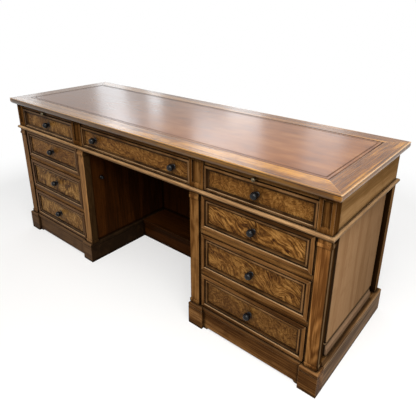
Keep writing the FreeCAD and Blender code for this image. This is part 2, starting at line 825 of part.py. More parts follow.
def forward(piece, x, y, z):
    """Place a turned piece on a front, with its far end towards the room."""
    return move(piece, x, y, z, FreeCAD.Rotation(FreeCAD.Vector(0, 0, 1), 180))


def ball(radius, neck, tip):
    """Where a ball of this radius leaves its neck, and the rise of its outline from there to its tip."""
    start = tip - radius - (radius * radius - neck * neck).root()
    reach = tip - start
    rise = radius - (radius * radius - (neck * neck + reach * reach) / 4).root()
    return start, rise


def drawer_knob(name, x, y, z):
    """A round knob on a narrow foot, and the screw that holds it through the drawer front."""
    ball_start, ball_rise = ball(S.knob_radius, S.knob_neck_radius, S.knob_length)
    knob = turned(f"{name}_body", [
        (S.knob_socket_radius, ZERO),
        (S.knob_foot_radius, ZERO),
        (S.knob_neck_radius, S.knob_foot_length, S.knob_foot_length / 6, "out"),
        (S.knob_neck_radius, ball_start),
        (ZERO, S.knob_length, ball_rise, "out"),
        (ZERO, S.knob_socket_depth),
        (S.knob_socket_radius, S.knob_socket_depth),
    ])
    inside = -S.front_thickness
    screw = turned(f"{name}_screw", [
        (ZERO, inside - S.screw_head_length),
        (S.screw_head_radius, inside - S.screw_head_length),
        (S.screw_head_radius, inside),
        (S.screw_radius, inside),
        (S.screw_radius, S.screw_bite),
        (ZERO, S.screw_bite),
    ])
    return [forward(knob, x, y, z), forward(screw, x, y, z)]


def pedestal_moulding():
    bead_start = S.strip_width + S.quirk_width
    width = bead_start + S.bead_width
    corner = S.strip_round * (1 - math.sqrt(0.5))
    inner_corner = S.strip_inner_round * (1 - math.sqrt(0.5))
    return width, [
        (ZERO, ZERO),
        (width, ZERO),
        (width, S.quirk_height),
        (bead_start, S.quirk_height, S.bead_bulge, "out"),
        (S.strip_width, S.quirk_height),
        (S.strip_width, S.strip_height - S.strip_inner_round),
        (S.strip_width - S.strip_inner_round, S.strip_height, inner_corner, "out"),
        (S.strip_round, S.strip_height),
        (ZERO, S.strip_height - S.strip_round, corner, "out"),
    ]


def frieze_moulding():
    width = S.frieze_strip_width + S.frieze_cove_width
    corner = S.frieze_strip_round * (1 - math.sqrt(0.5))
    return width, [
        (ZERO, ZERO),
        (width, ZERO),
        (width, S.frieze_cove_edge),
        (S.frieze_strip_width, S.frieze_strip_height - S.frieze_cove_drop, S.frieze_cove_bulge, "in"),
        (S.frieze_strip_width, S.frieze_strip_height),
        (S.frieze_strip_round, S.frieze_strip_height),
        (ZERO, S.frieze_strip_height - S.frieze_strip_round, corner, "out"),
    ]


def drawer(label, x, z, floor, face_y, moulding, back_limit, knobs):
    """One drawer: a veneered front, four mitred moulding strips, an open box and its knobs."""
    depth, section = moulding
    width = x[1] - x[0]
    height = z[1] - z[0]
    centre_z = middle(z)
    blank = board(f"{label}_blank", x, (face_y, face_y + S.front_thickness), z)
    bores = doc.addObject("Part::Compound", f"{label}_bores")
    bore_radius = S.screw_radius + S.knob_hole_clearance
    bores.Links = [
        rod(f"{label}_bore_{i}", bore_radius, S.front_thickness + S.trim * 2, knob_x, face_y - S.trim, centre_z)
        for i, knob_x in enumerate(knobs)
    ]
    front = doc.addObject("Part::Cut", f"{label}_front")
    front.Base = blank
    front.Tool = bores
    node(f"{label}_front", [front])

    strips = []
    for quarters, length, corner_x, corner_z in (
        (0, width, x[0], z[0]), (1, height, x[1], z[0]), (2, width, x[1], z[1]), (3, height, x[0], z[1]),
    ):
        piece = strip(f"{label}_strip_{quarters}", section, depth, length, (True, True))
        upright = FreeCAD.Rotation(FreeCAD.Vector(1, 0, 0), 90)
        spin = FreeCAD.Rotation(FreeCAD.Vector(0, 1, 0), -90 * quarters)
        strips.append(move(piece, corner_x, face_y, corner_z, spin.multiply(upright)))
    node(f"{label}_moulding", strips)

    side_y = (face_y + S.front_thickness, back_limit - S.box_back_clearance)
    side_z = (floor + S.runner_clearance, z[1] - S.box_drop)
    out_x = (x[0] + S.box_inset, x[1] - S.box_inset)
    in_x = (out_x[0] + S.box_side_thickness, out_x[1] - S.box_side_thickness)
    bottom_z = (side_z[0] + S.box_bottom_lift, side_z[0] + S.box_bottom_lift + S.box_bottom_thickness)
    node(f"{label}_box", [
        board(f"{label}_west_side", (out_x[0], in_x[0]), side_y, side_z),
        board(f"{label}_east_side", (in_x[1], out_x[1]), side_y, side_z),
        board(f"{label}_back", in_x, (side_y[1] - S.box_side_thickness, side_y[1]), (bottom_z[1], side_z[1])),
        board(f"{label}_bottom", in_x, side_y, bottom_z),
    ])
    pieces = []
    for i, knob_x in enumerate(knobs):
        pieces += drawer_knob(f"{label}_knob_{i}", knob_x, face_y, centre_z)
    node(f"{label}_knob", pieces)


slide_z = (top_under - S.slide_top_gap - S.slide_thickness, top_under - S.slide_top_gap)
frieze_front_z = (waist_top + S.drawer_gap, slide_z[0] - S.drawer_over_slide_gap)
side_opening = (mid_block_x[1], end_block_x[0])
slide_x = (side_opening[0] + S.slide_side_gap, side_opening[1] - S.slide_side_gap)


def writing_slide(side, word):
    """A thin board that pulls out above a frieze drawer, with a small knob in its edge."""
    x = on_side(side, *slide_x)
    y = front_face + S.slide_setback
    blank = board(f"{word}_slide_blank", x, (y, y + S.slide_depth), slide_z)
    bore_radius = S.slide_knob_shank_radius + S.knob_hole_clearance
    bore = rod(f"{word}_slide_bore", bore_radius, S.slide_knob_shank_length + S.trim * 2,
               middle(x), y - S.trim, middle(slide_z))
    slide = doc.addObject("Part::Cut", f"{word}_slide")
    slide.Base = blank
    slide.Tool = bore
    node(f"{word}_writing_slide", [slide])
    neck = S.slide_knob_neck_radius
    ball_start, ball_rise = ball(S.slide_knob_radius, neck, S.slide_knob_length)
    knob = turned(f"{word}_slide_knob_body", [
        (ZERO, -S.slide_knob_shank_length),
        (S.slide_knob_shank_radius, -S.slide_knob_shank_length),
        (S.slide_knob_shank_radius, ZERO),
        (neck, ZERO),
        (neck, ball_start),
        (ZERO, S.slide_knob_length, ball_rise, "out"),
    ])
    node(f"{word}_slide_knob", [forward(knob, middle(x), y, middle(slide_z))])


def make_moving_parts():
    guides = []
    inset = S.drawer_gap + S.box_inset
    floor_z = (waist_top, waist_top + S.guide_height)
    guide_y = (end_block_back, frieze_back_y[0])
    guide_z = (slide_z[0] - S.runner_clearance - S.slide_guide_height, slide_z[0] - S.runner_clearance)
    slide_guide_y = (end_block_back, end_block_back + S.slide_guide_length)
    for side, word in ((-1, "left"), (1, "right")):
        near = (partition_x[1], side_opening[0] + inset - S.guide_clearance)
        far = (side_opening[1] - inset + S.guide_clearance, frieze_end_x[0])
        knee = (kneehole_edge - inset + S.guide_clearance, partition_x[0])
        for place, span in (("near", near), ("far", far), ("centre", knee)):
            guides.append(board(f"{word}_{place}_frieze_guide", on_side(side, *span), guide_y, floor_z))
        under_near = (partition_x[1], slide_x[0] + S.slide_guide_bearing)
        under_far = (slide_x[1] - S.slide_guide_bearing, frieze_end_x[0])
        for place, span in (("near", under_near), ("far", under_far)):
            guides.append(board(f"{word}_{place}_slide_guide", on_side(side, *span), slide_guide_y, guide_z))
    node("frieze_guides", guides)

    pedestal_face = front_face + S.pedestal_panel_setback
    frieze_face = front_face + S.frieze_panel_setback
    for side, word in ((-1, "left"), (1, "right")):
        x = on_side(side, opening_x[0] + S.drawer_gap, opening_x[1] - S.drawer_gap)
        for level in ("upper", "middle", "lower"):
            drawer(f"{word}_{level}_drawer", x, drawer_fronts[level], opening_floor[level], pedestal_face,
                   pedestal_moulding(), wall_y[0], [middle(x)])
        x = on_side(side, side_opening[0] + S.drawer_gap, side_opening[1] - S.drawer_gap)
        drawer(f"{word}_frieze_drawer", x, frieze_front_z, waist_top, frieze_face, frieze_moulding(),
               frieze_back_y[0], [middle(x)])
        writing_slide(side, word)
    x = (-kneehole_edge + S.drawer_gap, kneehole_edge - S.drawer_gap)
    knobs = [-S.centre_knob_spacing / 2, S.centre_knob_spacing / 2]
    drawer("centre_frieze_drawer", x, frieze_front_z, waist_top, frieze_face, frieze_moulding(),
           frieze_back_y[0], knobs)


make_top()
make_frieze()
make_waist()
make_pedestals()
make_plinth()
make_kneehole()
make_moving_parts()
doc.recompute()

for thing in doc.Objects:
    if "Invalid" in thing.State or "Error" in thing.State:
        raise RuntimeError(f"{thing.Label} failed: {thing.State}")
for whole in nodes:
    if whole.Shape.isNull() or not whole.Shape.isValid():
        raise RuntimeError(f"{whole.Label} has no valid shape")

os.makedirs("parts", exist_ok=True)
for whole in nodes:
    whole.Shape.exportStep(f"parts/{whole.Label}.step")
    print(f"{whole.Label}: {len(whole.Shape.Solids)} solids, {whole.Shape.Volume / 1000:.1f} cm3")
print(f"{len(nodes)} nodes")
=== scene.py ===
# %% [markdown]
# # A kneehole pedestal desk
# The desk comes from its construction model, board by board, in metres. This lesson dresses it: a camera
# where the photo was taken, finishes for metal, plain and stained wood, figured veneer and leather, a
# floor and light.

# %% Load the desk
import math

import bmesh
import bpy
from mathutils import Matrix, Vector


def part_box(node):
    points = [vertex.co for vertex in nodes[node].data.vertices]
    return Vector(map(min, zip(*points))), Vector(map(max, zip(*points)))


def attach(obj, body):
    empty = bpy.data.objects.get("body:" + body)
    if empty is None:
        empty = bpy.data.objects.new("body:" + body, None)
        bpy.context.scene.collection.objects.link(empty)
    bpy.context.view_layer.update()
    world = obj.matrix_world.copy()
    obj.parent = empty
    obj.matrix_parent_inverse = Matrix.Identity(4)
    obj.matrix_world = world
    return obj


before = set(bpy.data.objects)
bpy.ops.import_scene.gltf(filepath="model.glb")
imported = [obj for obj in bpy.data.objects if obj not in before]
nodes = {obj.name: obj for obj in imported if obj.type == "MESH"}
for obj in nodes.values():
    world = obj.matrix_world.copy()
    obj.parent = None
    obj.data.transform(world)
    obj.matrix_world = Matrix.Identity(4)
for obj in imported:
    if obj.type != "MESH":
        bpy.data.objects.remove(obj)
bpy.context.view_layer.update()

# %% [markdown]
# The photo is square, taken from the right front corner at about standing eye height. A camera could be
# aimed by eye until the picture fits. Here its place, turn and lens were worked out from the desk's own
# corners, because then every edge lies where the photo has it. The lens shift puts the desk where it sits
# in the frame.

# %% Camera
PHOTO_PIXELS = 416
FOCAL_PIXELS = 426.53
CENTRE_PIXEL = (214.04, 165.38)
CAMERA_PLACE = (1.3031, -1.3287, 1.2536)
SENSOR_WIDTH = 36.0
AZIMUTH, ELEVATION, ROLL = (math.radians(angle) for angle in (39.267, 21.420, 0.473))

back = Vector((
    math.sin(AZIMUTH) * math.cos(ELEVATION),
    -math.cos(AZIMUTH) * math.cos(ELEVATION),
    math.sin(ELEVATION),
))
right = Vector((math.cos(AZIMUTH), math.sin(AZIMUTH), 0))
up = back.cross(right)
rolled_right = right * math.cos(ROLL) + up * math.sin(ROLL)
rolled_up = up * math.cos(ROLL) - right * math.sin(ROLL)
camera_data = bpy.data.cameras.new("photo_camera")
camera_data.sensor_width = SENSOR_WIDTH
camera_data.lens = SENSOR_WIDTH * FOCAL_PIXELS / PHOTO_PIXELS
camera_data.shift_x = (PHOTO_PIXELS / 2 - CENTRE_PIXEL[0]) / PHOTO_PIXELS
camera_data.shift_y = (CENTRE_PIXEL[1] - PHOTO_PIXELS / 2) / PHOTO_PIXELS
camera = bpy.data.objects.new("photo_camera", camera_data)
bpy.context.scene.collection.objects.link(camera)
turn = Matrix((rolled_right, rolled_up, back)).transposed()
camera.matrix_world = Matrix.Translation(CAMERA_PLACE) @ turn.to_4x4()
bpy.context.scene.camera = camera
bpy.context.scene.view_settings.view_transform = "Standard"
print("camera lens", round(camera_data.lens, 2), "mm")

# %% [markdown]
# Every finish on this desk is a tree of nodes that feeds one shader. A tree could be put together by hand
# in the shader editor, but one that is written down can be read again and changed in one place. So a
# small class holds a material and its shader, and short functions add the nodes. Colours are written as a
# paint program shows them, from 0 to 255, and turned into the linear light that Blender reckons in.

# %% Colours and nodes


def tint(red, green, blue):
    """A colour picked in a paint program, as linear light."""
    parts = [value / 255 for value in (red, green, blue)]
    linear = [part / 12.92 if part <= 0.04045 else ((part + 0.055) / 1.055) ** 2.4 for part in parts]
    return (*linear, 1.0)


def feed(socket, value):
    """Links another node's output to a socket, or sets a plain value on it."""
    if isinstance(value, bpy.types.NodeSocket):
        socket.id_data.links.new(value, socket)
    else:
        socket.default_value = value


def add_node(tree, kind, *values, **settings):
    """A new node in a tree, with its settings by name and its first inputs in order."""
    made = tree.nodes.new(kind)
    for key, value in settings.items():
        setattr(made, key, value)
    for socket, value in zip(made.inputs, values):
        feed(socket, value)
    return made


class Finish:
    """A finish in the making: its material, its shader, and where on the desk a spot lies."""

    def __init__(self, name):
        self.material = bpy.data.materials.new(name)
        self.material.use_nodes = True
        self.tree = self.material.node_tree
        self.shader = self.tree.nodes["Principled BSDF"]
        self.place = self.node("ShaderNodeTexCoord").outputs["Object"]
        self.x, self.y, self.z = self.node("ShaderNodeSeparateXYZ", self.place).outputs

    def node(self, kind, *values, **settings):
        """A new node in this finish."""
        return add_node(self.tree, kind, *values, **settings)

    def give(self, name, value):
        """Links a value to one of the shader's own sockets, or sets it there."""
        feed(self.shader.inputs[name], value)


def dress(finish, *names):
    """Puts a finish on construction nodes."""
    for name in names:
        nodes[name].material_slots[0].material = finish.material
    print(finish.material.name, "on", len(names), "nodes")


print("mid grey in linear light", round(tint(128, 128, 128)[0], 3))

# %% [markdown]
# The drawer knobs are dark, nearly black metal with a soft shine. The two small knobs of the writing
# slides are old brass, dulled to grey-brown where hands don't reach. One even colour would look like
# plastic, and a picture of metal would smear over the round shapes. Fine noise in space clouds the colour
# and the polish evenly all round.

# %% Noise, sums and tones


def noise(place, cells, detail=3.0, roughness=0.55, distortion=0.0):
    """Noise with so many cells to the metre along each axis of a place."""
    stretched = add_node(place.id_data, "ShaderNodeMapping", place)
    stretched.inputs["Scale"].default_value = cells
    made = add_node(place.id_data, "ShaderNodeTexNoise", stretched.outputs[0])
    settings = {"Scale": 1.0, "Detail": detail, "Roughness": roughness, "Distortion": distortion}
    for name, value in settings.items():
        made.inputs[name].default_value = value
    return made.outputs[0]


def tree_of(*values):
    """The tree that the first socket among some values belongs to."""
    return next(value.id_data for value in values if isinstance(value, bpy.types.NodeSocket))


def maths(operation, *values):
    """One sum on sockets and numbers, named as the math node names it."""
    return add_node(tree_of(*values), "ShaderNodeMath", *values, operation=operation).outputs[0]


def between(mask, start, end):
    """A value that goes from start, where a mask is 0, to end, where it is 1."""
    return maths("MULTIPLY_ADD", mask, end - start, start)


def tone(value, tones, spread):
    """A colour ramp over tones from dark to light, spread evenly to both sides of the value 0.5."""
    made = add_node(value.id_data, "ShaderNodeValToRGB", value)
    stops = made.color_ramp.elements
    while len(stops) < len(tones):
        stops.new(0.5)
    for number, (stop, colour) in enumerate(zip(stops, tones)):
        stop.position = 0.5 - spread + 2 * spread * number / (len(tones) - 1)
        stop.color = colour
    return made.outputs[0]


# %% Metal knobs
BLACK_METAL = (tint(7, 7, 8), tint(19, 20, 22))
OLD_BRASS = (tint(58, 52, 42), tint(118, 106, 82))
KNOB_CLOUDS = (160, 160, 160)


def knob_metal(name, tones, metallic, roughness):
    """Metal that is duller where its colour is lighter."""
    finish = Finish(name)
    cloud = noise(finish.place, KNOB_CLOUDS)
    finish.give("Base Color", tone(cloud, tones, 0.15))
    finish.give("Roughness", between(cloud, roughness, roughness + 0.2))
    finish.give("Metallic", metallic)
    finish.give("Specular IOR Level", 0.2)
    return finish


drawers = [name.removesuffix("_knob") for name in nodes if name.endswith("_drawer_knob")]
black_metal = knob_metal("black_knob_metal", BLACK_METAL, 0.1, 0.16)
dress(black_metal, *(f"{drawer}_knob" for drawer in drawers))
dress(knob_metal("old_brass", OLD_BRASS, 0.9, 0.28), "left_slide_knob", "right_slide_knob")

# %% [markdown]
# Inside, where nobody looks, the maker uses plain pale wood: drawer sides and bottoms, runners, guides
# and the boards that tie the case together. It is only sanded, so it is dull. A picture of wood could be
# wrapped round each board, but its grain would break at the edges. Noise in space, drawn out along the
# board, runs right through it instead: slow bands with rings between them, fine fibres, and pores as a
# mask.

# %% Grain of wood
# Cells to the metre along the grain and the two ways across it
BANDS = (1.1, 15, 15)
ARCHES = (2.2, 16, 16)
FIBRES = (9, 380, 380)
PORES = (26, 760, 760)


def along(finish, axis):
    """Coordinates laid out as a board: along the grain first, then the two ways across it."""
    across = [name for name in "xyz" if name != axis]
    parts = [getattr(finish, name) for name in (axis, *across)]
    return finish.node("ShaderNodeCombineXYZ", *parts).outputs[0]


def fade(value, start, end):
    """0 at start, 1 at end and a soft step between them."""
    made = add_node(value.id_data, "ShaderNodeMapRange", value, start, end, interpolation_type="SMOOTHSTEP")
    return made.outputs[0]


def contours(height, count):
    """Wavy lines, like the contours of a hill: a wave over so many levels of a slowly changing value."""
    wave = maths("SINE", maths("MULTIPLY", height, count * math.tau))
    return maths("MULTIPLY_ADD", wave, 0.5, 0.5)


def weigh(*parts):
    """The sum of several values, each given with its weight."""
    (value, weight), *others = parts
    result = maths("MULTIPLY", value, weight)
    for value, weight in others:
        result = maths("MULTIPLY_ADD", value, weight, result)
    return result


def wood_figure(board, arched=0.0):
    """Slow bands, growth rings and fine fibres drawn out along a board, from 0 to 1, and its pores as a
    mask. A board sawn flat through the log also has a share of nested arches."""
    bands = noise(board, BANDS, detail=4, distortion=0.5)
    fibres = noise(board, FIBRES, detail=2)
    pores = fade(noise(board, PORES, detail=1), 0.6, 0.7)
    parts = [(bands, 0.5), (contours(bands, 4), 0.08)]
    if arched:
        arches = contours(noise(board, ARCHES, detail=1, distortion=0.4), 10)
        parts.append((maths("SUBTRACT", arches, 0.42), arched))
    return weigh(*parts, (fibres, 0.42)), pores


print("bands", round(1000 / BANDS[1]), "mm wide, fibres", round(1000 / FIBRES[1], 1), "mm wide")

# %% Plain inside wood
PALE_WOOD = (tint(150, 118, 78), tint(178, 146, 102), tint(198, 168, 124))
INSIDE_WOOD = (tint(96, 68, 40), tint(124, 92, 58), tint(146, 112, 74))


def times(first, second):
    """One value times another: a share of a mask, or the part that two masks have in common."""
    return maths("MULTIPLY", first, second)


def mix(factor, first, second, blend="MIX"):
    """The first colour where a factor is 0, and where it is 1 the second or a blend of both."""
    made = add_node(tree_of(factor, first, second), "ShaderNodeMix", data_type="RGBA", blend_type=blend)
    for number, value in ((0, factor), (6, first), (7, second)):
        feed(made.inputs[number], value)
    return made.outputs[2]


def plain_wood(name, axis, tones):
    """Sanded wood with its pores in the darkest of its tones."""
    finish = Finish(name)
    figure, pores = wood_figure(along(finish, axis))
    finish.give("Base Color", mix(times(pores, 0.4), tone(figure, tones, 0.14), tones[0]))
    finish.give("Roughness", 0.6)
    return finish


dress(plain_wood("drawer_wood", "y", PALE_WOOD), *(f"{drawer}_box" for drawer in drawers))
dress(plain_wood("inside_wood", "y", INSIDE_WOOD), "drawer_runners", "frieze_guides", "pedestal_boards",
      "frieze_floor", "top_core")

# %% [markdown]
# The show wood is stained, then darkened in every corner and quirk, partly by dark glaze and partly by
# painted shade, and its outer edges are lightened to a pale golden tone, partly by years of rubbing and
# partly by painted highlight. It could be painted on a picture for each board, as a finisher wipes it by
# hand.
# Here the ambient occlusion node finds the corners, and the same node looking inward finds the edges.

# %% Stain
# A grey: on the left it stands for painted glare of the windows, elsewhere it is a greyer tone.
GREYED = tint(124, 102, 84)
BLOTCHES = (20, 20, 20)


def most(*masks):
    """The largest of several masks."""
    result = masks[0]
    for mask in masks[1:]:
        result = maths("MAXIMUM", result, mask)
    return result


def stain(finish, board, tones, arched, greyed):
    """The colour of a stained board, its figure and its pores. Stain soaks in darkest at the pores and in
    blotches, and the colour turns grey where the mask greyed is."""
    figure, pores = wood_figure(board, arched)
    blotches = fade(noise(finish.place, BLOTCHES, detail=5, roughness=0.6), 0.5, 0.7)
    colour = mix(times(most(pores, blotches), 0.45), tone(figure, tones, 0.12), tones[0])
    if greyed is not None:
        colour = mix(greyed, colour, GREYED)
    return colour, figure, pores


print("blotches about", 1000 // BLOTCHES[0], "mm across")

# %% Glaze, painted shade, wear and painted highlight
# Dark glaze and painted shade share one colour, and wear and painted highlight share the pale one.
GLAZE_AND_SHADE = tint(17, 9, 3)
RUBBED_AND_HIGHLIGHT = tint(204, 166, 122)
PALE_EDGE_WIDTH = 0.003


def opposite(mask):
    """1 where a mask is 0, and 0 where it is 1."""
    return maths("SUBTRACT", 1.0, mask)


def corners(finish, reach, inside=False):
    """How closed in a spot is within reach: 1 in the open, half at a right-angled corner. With inside, the
    same is asked from under the surface, which finds outer edges."""
    made = finish.node("ShaderNodeAmbientOcclusion", samples=4, inside=inside)
    made.inputs["Distance"].default_value = reach
    return made.outputs["AO"]


def darken_hollows(finish, colour, reach, closed_in, amount):
    """A colour with an amount of glaze and painted shade in the hollows, all of it where a spot is closed
    in so far.
    """
    hollows = fade(corners(finish, reach), 0.97, closed_in)
    return mix(times(hollows, amount), colour, GLAZE_AND_SHADE)


def darken_hollows_lighten_edges(finish, colour, reach, glaze_and_shade, pale, rubbing):
    """A colour darkened in the hollows by glaze and painted shade, and lightened on the edges by wear and
    painted highlight. The two masks add to either.
    """
    edges = times(fade(corners(finish, PALE_EDGE_WIDTH, inside=True), 0.8, 0.5), rubbing)
    if glaze_and_shade is not None:
        colour = mix(glaze_and_shade, colour, GLAZE_AND_SHADE)
        edges = times(edges, opposite(glaze_and_shade))
    if pale is not None:
        edges = most(edges, pale)
    return darken_hollows(finish, mix(edges, colour, RUBBED_AND_HIGHLIGHT), reach, 0.6, 0.97)


print("edges rubbed within", PALE_EDGE_WIDTH * 1000, "mm")

# %% [markdown]
# The plainest pieces of the show wood come first: the rails between the drawers, the frieze's framing and
# the writing slides. Inside the kneehole little light gets in, so shade is painted into the wood's colour
# there, and it has almost no shine. Their edges could be rounded in the mesh, but the bevel node softens
# them in the light alone, and the shapes stay those of the construction model.

# %% Rails and kneehole
BROWN_WOOD = (tint(68, 39, 14), tint(112, 74, 35), tint(146, 104, 58))
# The dark tones of the kneehole wood are painted shade.
SHADED_WOOD = (tint(36, 18, 4), tint(54, 27, 7), tint(70, 37, 11))
SOFT_EDGE = 0.0015
GRAIN_DEPTH = 0.0004


def relief(finish, height, strength, depth, normal=None):
    """Fine relief: a height, how strongly it shows and how deep it is, over a normal if one is given."""
    bump = finish.node("ShaderNodeBump", strength, depth)
    feed(bump.inputs["Height"], height)
    if normal is not None:
        feed(bump.inputs["Normal"], normal)
    finish.give("Normal", bump.outputs[0])


def stained_wood(finish, board, tones, shine=0.02, roughness=0.4, reach=0.016, glaze_and_shade=None, pale=None,
                 rubbing=0.35, greyed=None, arched=0.0):
    """Wood with the grain of a board and its tones from dark to light. Reach is how far glaze and painted
    shade spread out of the corners, rubbing how strongly the edges are lightened by wear and painted
    highlight, and arched the share of arches in the grain. The masks say where it is darker, where paler
    and what turns grey."""
    board = along(finish, board) if isinstance(board, str) else board
    colour, figure, pores = stain(finish, board, tones, arched, greyed)
    finish.give("Base Color", darken_hollows_lighten_edges(finish, colour, reach, glaze_and_shade, pale, rubbing))
    finish.give("Roughness", between(figure, roughness + 0.06, roughness - 0.06))
    finish.give("Specular IOR Level", shine)
    soft_edges = finish.node("ShaderNodeBevel", SOFT_EDGE, samples=4).outputs[0]
    relief(finish, maths("SUBTRACT", figure, pores), 0.2, GRAIN_DEPTH, soft_edges)
    return finish


dress(stained_wood(Finish("rail_wood"), "x", BROWN_WOOD), "drawer_rails", "frieze_framing",
      "left_writing_slide", "right_writing_slide")
# Kneehole sides, back panel and footrest: painted shade.
dress(stained_wood(Finish("kneehole_side_wood"), "z", SHADED_WOOD, shine=0.01, rubbing=0.0), "inner_sides",
      "modesty_panel")
dress(stained_wood(Finish("footrest_wood"), "x", SHADED_WOOD, shine=0.01, rubbing=0.12), "footrest")

# %% [markdown]
# Posts stand at the corners of both pedestals. The rear ones have shade painted nearly black on the faces
# that look along the end panels, and their outer faces are paler. Each face could have a material slot of
# its own, but the posts are one construction node with one finish, so the finish asks which way a surface
# faces.

# %% Posts
REAR_HALF = (0.0, 0.1)


def facing(finish):
    """The way a surface faces, as its parts along x, y and z."""
    normal = finish.node("ShaderNodeNewGeometry").outputs["Normal"]
    return finish.node("ShaderNodeSeparateXYZ", normal).outputs


finish = Finish("post_wood")
facing_x, facing_y = facing(finish)[:2]
rear_half = fade(finish.y, *REAR_HALF)
# Painted shade, nearly black, on the rear posts' faces that look along the end panels.
inner_face_shade = times(fade(facing_y, -0.5, -0.9), rear_half)
outer_faces = times(fade(maths("ABSOLUTE", facing_x), 0.5, 0.9), rear_half)
dress(stained_wood(finish, "z", BROWN_WOOD, shine=0.0, reach=0.03, glaze_and_shade=times(inner_face_shade, 0.85),
                   pale=times(outer_faces, 0.15)), "pedestal_frames")

# %% [markdown]
# The frieze's case, the waist moulding, the plinth and the top's border run round the desk as straight
# boards that meet at the corners. On the real desk the grain turns with each board. The boards could be
# parted and finished one by one, but a mask made from the frame's own box does it in one finish: it tells
# the end boards from the long ones and swaps the grain's direction at the corner.

# %% Frieze case
FRIEZE_WOOD = (tint(128, 93, 54), tint(156, 118, 74), tint(177, 139, 94))


def away(value, centre):
    """How far a value is from a centre, on either side."""
    return maths("ABSOLUTE", maths("SUBTRACT", value, centre))


def inward(value, half_width, centre=0.0):
    """How far in from the nearer edge of an outline a spot is, on one axis."""
    return maths("SUBTRACT", half_width, away(value, centre))


def choose_place(mask, first, second):
    """The first place where a mask is 0 and the second where it is 1."""
    made = add_node(mask.id_data, "ShaderNodeMix", data_type="VECTOR")
    for number, value in ((0, mask), (4, first), (5, second)):
        feed(made.inputs[number], value)
    return made.outputs[1]


def mitred(finish, node):
    """Grain that runs along each rail of a flat frame and turns at the mitres."""
    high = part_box(node)[1]
    end_rails = maths("GREATER_THAN", inward(finish.y, high.y), inward(finish.x, high.x))
    return choose_place(end_rails, along(finish, "x"), along(finish, "y"))


finish = Finish("frieze_case_wood")
dress(stained_wood(finish, mitred(finish, "frieze_case"), FRIEZE_WOOD, shine=0.0), "frieze_case")

# %% [markdown]
# The waist moulding parts the frieze from the pedestals. A highlight is painted on its upward faces, shade
# is painted towards its foot, more so on the right, and its ends are darker with a highlight painted along
# the upper edge. A lamp could light it so, but that would fit one view alone, so this light and shade are
# painted as masks by height and place on the wood.

# %% Waist moulding
WAIST_WOOD = (tint(104, 73, 43), tint(170, 133, 93), tint(198, 164, 122))
WAIST_DEPTH = 0.02
ARRIS = 0.002
RIGHT_HALF = (0.3, 0.6)


def stripe(value, centre, half_width):
    """1 on a line across a value, and 0 half a width or more away from it."""
    return fade(away(value, centre), half_width, half_width * 0.4)


def facing_up(finish):
    """1 on slopes that face upwards, which catch the light from above, for painted highlight or painted
    shade.
    """
    return fade(facing(finish)[2], 0.15, 0.75)


finish = Finish("waist_wood")
waist_low, waist_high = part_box("waist_moulding")
at_end = fade(inward(finish.x, waist_high.x), WAIST_DEPTH, WAIST_DEPTH / 2)
# A highlight painted along the upper edge of each end.
end_highlight_line = times(stripe(finish.z, waist_high.z - ARRIS, ARRIS * 2), at_end)
# Painted highlight on the upward faces.
top_highlight = times(most(facing_up(finish), end_highlight_line), 0.22)
foot_share = between(fade(finish.x, *RIGHT_HALF), 0.3, 0.55)
# Painted shade towards the foot of the roll, more on the right.
foot_shade = times(fade(finish.z, waist_high.z - ARRIS * 3, waist_low.z + ARRIS * 2), foot_share)
# The ends are darker.
end_darkening = times(at_end, 0.45)
dress(stained_wood(finish, mitred(finish, "waist_moulding"), WAIST_WOOD, reach=0.01, pale=top_highlight,
                   glaze_and_shade=most(end_darkening, foot_shade)), "waist_moulding")

# %% [markdown]
# The plinth is stained dark. Shade is painted on its faces in the kneehole and on the boards' upward faces,
# a faint highlight on the blocks' upward faces, the left pedestal's boards are darker and greyer than the
# right's, and the end boards are streaked, with glaze in their groove and a painted highlight line over it.
# One finish for each pedestal and side would mean many slots. Masks by place put it all into two finishes:
# one for the boards, whose grain turns at the corners, and one for the blocks under the pilasters.

# %% Foot blocks
PLINTH_WOOD = (tint(60, 35, 14), tint(106, 70, 36), tint(146, 105, 63))
LEFT_PEDESTAL = (-0.31, -0.34)
SOFT_STEP = 0.002


def kneehole_shade(finish, depth):
    """1 on faces that look into the kneehole, to a depth behind them, where shade is painted."""
    inner_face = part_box("footrest")[1].x
    return fade(maths("ABSOLUTE", finish.x), inner_face + depth, inner_face + depth - SOFT_STEP)


def plinth_wood(name, kneehole_depth):
    """A finish in the making, with the masks of where it is darker, paler and greyer."""
    finish = Finish(name)
    left = fade(finish.x, *LEFT_PEDESTAL)
    # Painted shade on the faces in the kneehole.
    shade = most(times(kneehole_shade(finish, kneehole_depth), 0.9), times(left, 0.42))
    # A faint painted highlight on upward faces outside the shade.
    lightened = times(facing_up(finish), between(shade, 0.06, 0.0))
    return finish, shade, lightened, times(left, 0.4)


finish, shade, lightened, greyed = plinth_wood("foot_block_wood", kneehole_depth=0.003)
dress(stained_wood(finish, "x", PLINTH_WOOD, shine=0.01, glaze_and_shade=shade, pale=lightened, greyed=greyed),
      "foot_blocks")

# %% Plinth boards
GROOVE_HEIGHT = 0.0845
GROOVE_GLAZE_HALF = 0.005
LINE_OVER_GROOVE = 0.006
HIGHLIGHT_LINE_HALF = 0.004
END_STREAKS = (3, 110, 110)

finish, shade, lightened, greyed = plinth_wood("plinth_wood", kneehole_depth=0.02)
at_end = fade(inward(finish.x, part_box("plinth_boards")[1].x), SOFT_STEP * 2, SOFT_STEP)
groove = times(stripe(finish.z, GROOVE_HEIGHT, GROOVE_GLAZE_HALF), at_end)
# A painted highlight line over the groove on the end boards.
highlight_line = times(stripe(finish.z, GROOVE_HEIGHT + LINE_OVER_GROOVE, HIGHLIGHT_LINE_HALF), at_end)
streaks = fade(noise(along(finish, "y"), END_STREAKS), 0.38, 0.62)
dark_streaks = times(at_end, between(streaks, 0.4, 0.0))
pale_streaks = times(at_end, between(streaks, 0.06, 0.32))
